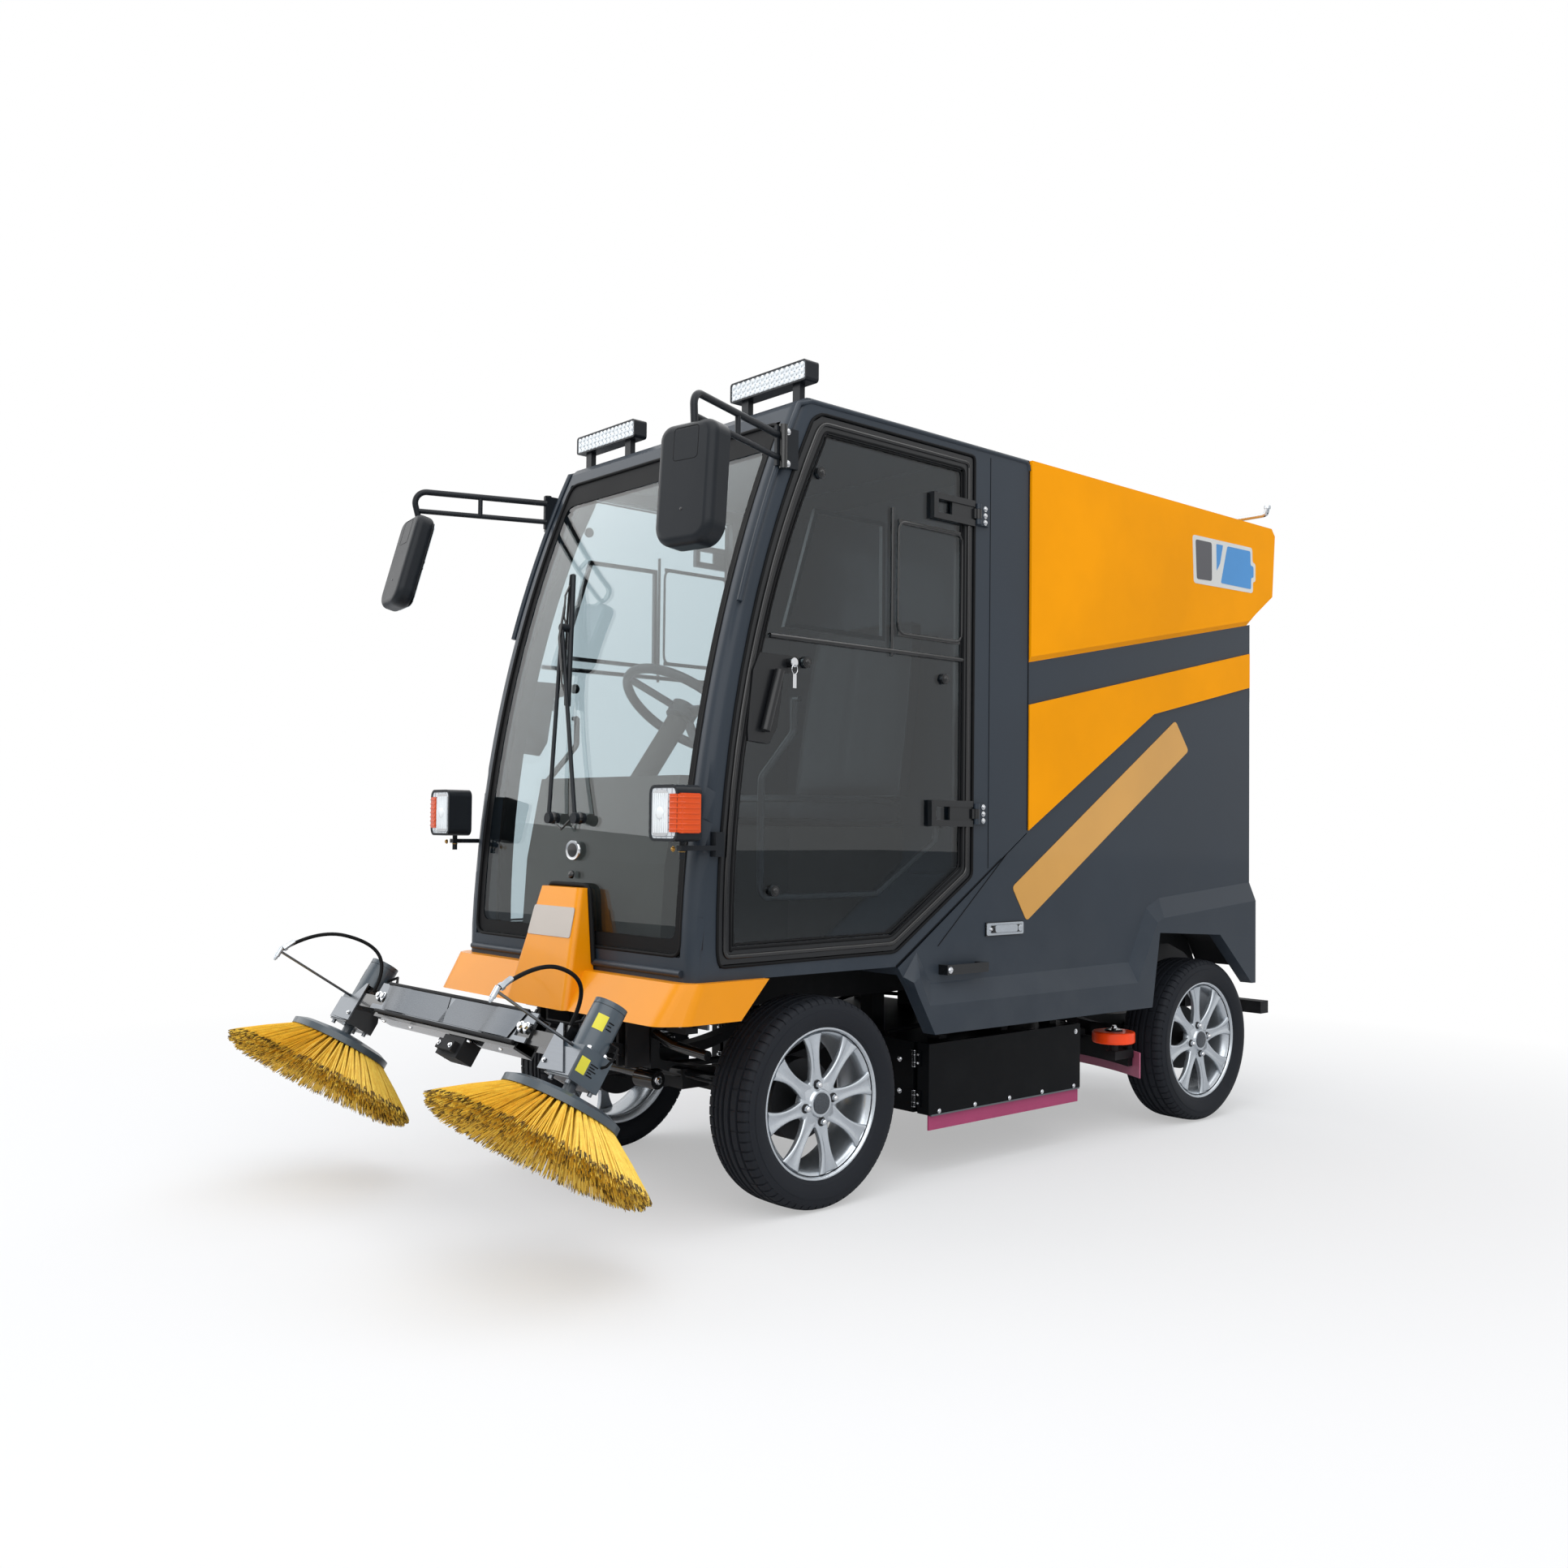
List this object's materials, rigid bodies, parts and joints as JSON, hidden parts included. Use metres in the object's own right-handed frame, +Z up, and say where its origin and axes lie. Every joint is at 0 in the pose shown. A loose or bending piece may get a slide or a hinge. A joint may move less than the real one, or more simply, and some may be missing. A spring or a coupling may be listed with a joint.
{
  "type": "compact road sweeper",
  "caption": "Compact electric road sweeper with a glazed cab, two front disc brushes on a lift frame, a scrub deck with squeegee and a rear hopper.",
  "frame": {"origin": "on the floor, under the middle of the overall box", "axes": "+Z up, the vehicle faces -Y, +X is its left side"},
  "size_m": [1.674, 3.4148, 2.2188],
  "materials": {
    "charcoal_paint": "satin",
    "amber_paint": "gloss",
    "chassis_black": "satin",
    "door_black": "satin",
    "tinted_glass": "gloss",
    "interior_plastic": "matte",
    "seat_vinyl": "satin",
    "black_plastic": "satin",
    "clear_lens": "gloss",
    "amber_lens": "gloss",
    "tyre": "matte",
    "alloy": "satin",
    "axle_steel": "matte",
    "battery_case": "matte",
    "bristle": "matte",
    "motor_slate": "satin",
    "steel": "brushed",
    "skirt_rubber": "satin",
    "guide_orange": "gloss"
  },
  "bodies": {
    "chassis": {"chassis_frame": "chassis_black", "cab_frame": "charcoal_paint", "windscreen": "tinted_glass", "cab_floor": "interior_plastic", "dashboard": "interior_plastic", "seat_cushions": "seat_vinyl", "front_apron": "amber_paint", "lamp_housings": "black_plastic", "lamp_lenses": "clear_lens", "turn_signals": "amber_lens", "mirrors": "black_plastic", "wiper": "black_plastic", "body_shell": "charcoal_paint", "hopper_top": "amber_paint", "side_bands": "amber_paint", "body_fittings": "chassis_black", "battery_pack": "battery_case", "front_axle": "axle_steel", "front_springs": "axle_steel", "rear_axle": "axle_steel", "scrub_deck": "chassis_black", "squeegee_carrier": "chassis_black", "squeegee_blade": "skirt_rubber"},
    "left_door": {"door_left": "door_black", "door_glass_left": "tinted_glass"},
    "right_door": {"door_right": "door_black", "door_glass_right": "tinted_glass"},
    "rear_door": {"rear_door": "charcoal_paint"},
    "left_knuckle": {"knuckle_left": "axle_steel"},
    "right_knuckle": {"knuckle_right": "axle_steel"},
    "steering_wheel": {"steering_wheel": "black_plastic"},
    "main_broom": {"main_broom": "bristle"},
    "left_deck_door": {"deck_door_left": "chassis_black", "deck_skirt_left": "skirt_rubber"},
    "right_deck_door": {"deck_door_right": "chassis_black", "deck_skirt_right": "skirt_rubber"},
    "left_guide_wheel": {"guide_wheel_left": "guide_orange"},
    "right_guide_wheel": {"guide_wheel_right": "guide_orange"},
    "brush_lift": {"lift_frame": "chassis_black", "lift_plates": "steel", "brush_motors": "motor_slate", "spray_lines": "steel"},
    "left_brush": {"brush_disc_left": "black_plastic", "bristles_left": "bristle"},
    "right_brush": {"brush_disc_right": "black_plastic", "bristles_right": "bristle"},
    "front_left_wheel": {"tyre_front_left": "tyre", "rim_front_left": "alloy"},
    "front_right_wheel": {"tyre_front_right": "tyre", "rim_front_right": "alloy"},
    "rear_left_wheel": {"tyre_rear_left": "tyre", "rim_rear_left": "alloy"},
    "rear_right_wheel": {"tyre_rear_right": "tyre", "rim_rear_right": "alloy"}
  },
  "joints": [
    {"name": "left_door_hinge", "type": "hinge", "parent": "chassis", "child": "left_door", "pos_m": [0.548, -0.00657, 1.477], "axis": [0, 0, 1], "range_deg": [0, 80]},
    {"name": "right_door_hinge", "type": "hinge", "parent": "chassis", "child": "right_door", "pos_m": [-0.548, -0.00657, 1.477], "axis": [0, 0, -1], "range_deg": [0, 80]},
    {"name": "rear_door_hinge", "type": "hinge", "parent": "chassis", "child": "rear_door", "pos_m": [0.505, 1.54643, 1.1], "axis": [0, 0, -1], "range_deg": [0, 110]},
    {"name": "steer_left", "type": "hinge", "parent": "chassis", "child": "left_knuckle", "pos_m": [0.345, -0.58157, 0.277], "axis": [0, 0, 1], "range_deg": [-30, 30]},
    {"name": "steer_right", "type": "hinge", "parent": "chassis", "child": "right_knuckle", "pos_m": [-0.345, -0.58157, 0.277], "axis": [0, 0, 1], "range_deg": [-30, 30]},
    {"name": "steering_wheel_turn", "type": "hinge", "parent": "chassis", "child": "steering_wheel", "pos_m": [0, -0.65157, 1.33], "axis": [0, 0.5843, 0.8115], "range_deg": [-360, 360]},
    {"name": "front_left_wheel_roll", "type": "hinge", "parent": "left_knuckle", "child": "front_left_wheel", "pos_m": [0.4555, -0.58157, 0.277], "axis": [1, 0, 0], "continuous": true},
    {"name": "rear_left_wheel_roll", "type": "hinge", "parent": "chassis", "child": "rear_left_wheel", "pos_m": [0.4555, 1.22543, 0.277], "axis": [1, 0, 0], "continuous": true},
    {"name": "left_deck_door_hinge", "type": "hinge", "parent": "chassis", "child": "left_deck_door", "pos_m": [0.438, -0.14157, 0.283], "axis": [0, 0, -1], "range_deg": [0, 95]},
    {"name": "left_guide_wheel_roll", "type": "hinge", "parent": "chassis", "child": "left_guide_wheel", "pos_m": [0.445, 0.81643, 0.316], "axis": [0, 0, 1], "continuous": true},
    {"name": "front_right_wheel_roll", "type": "hinge", "parent": "right_knuckle", "child": "front_right_wheel", "pos_m": [-0.4555, -0.58157, 0.277], "axis": [1, 0, 0], "continuous": true},
    {"name": "rear_right_wheel_roll", "type": "hinge", "parent": "chassis", "child": "rear_right_wheel", "pos_m": [-0.4555, 1.22543, 0.277], "axis": [1, 0, 0], "continuous": true},
    {"name": "right_deck_door_hinge", "type": "hinge", "parent": "chassis", "child": "right_deck_door", "pos_m": [-0.438, -0.14157, 0.283], "axis": [0, 0, 1], "range_deg": [0, 95]},
    {"name": "right_guide_wheel_roll", "type": "hinge", "parent": "chassis", "child": "right_guide_wheel", "pos_m": [-0.445, 0.81643, 0.316], "axis": [0, 0, 1], "continuous": true},
    {"name": "main_broom_spin", "type": "hinge", "parent": "chassis", "child": "main_broom", "pos_m": [0, 0.21843, 0.255], "axis": [1, 0, 0], "continuous": true},
    {"name": "brush_lift_hinge", "type": "hinge", "parent": "chassis", "child": "brush_lift", "pos_m": [0, -0.94757, 0.4], "axis": [1, 0, 0], "range_deg": [0, 30]},
    {"name": "left_brush_spin", "type": "hinge", "parent": "brush_lift", "child": "left_brush", "pos_m": [0.561, -1.40681, 0.39219], "axis": [0, 0.5344, 0.8453], "continuous": true},
    {"name": "right_brush_spin", "type": "hinge", "parent": "brush_lift", "child": "right_brush", "pos_m": [-0.561, -1.40681, 0.39219], "axis": [0, 0.5344, 0.8453], "continuous": true}
  ],
  "couplings": [
    {"joint": "steer_right", "follows": "steer_left", "ratio": 1},
    {"joint": "steering_wheel_turn", "follows": "steer_left", "ratio": 12}
  ]
}
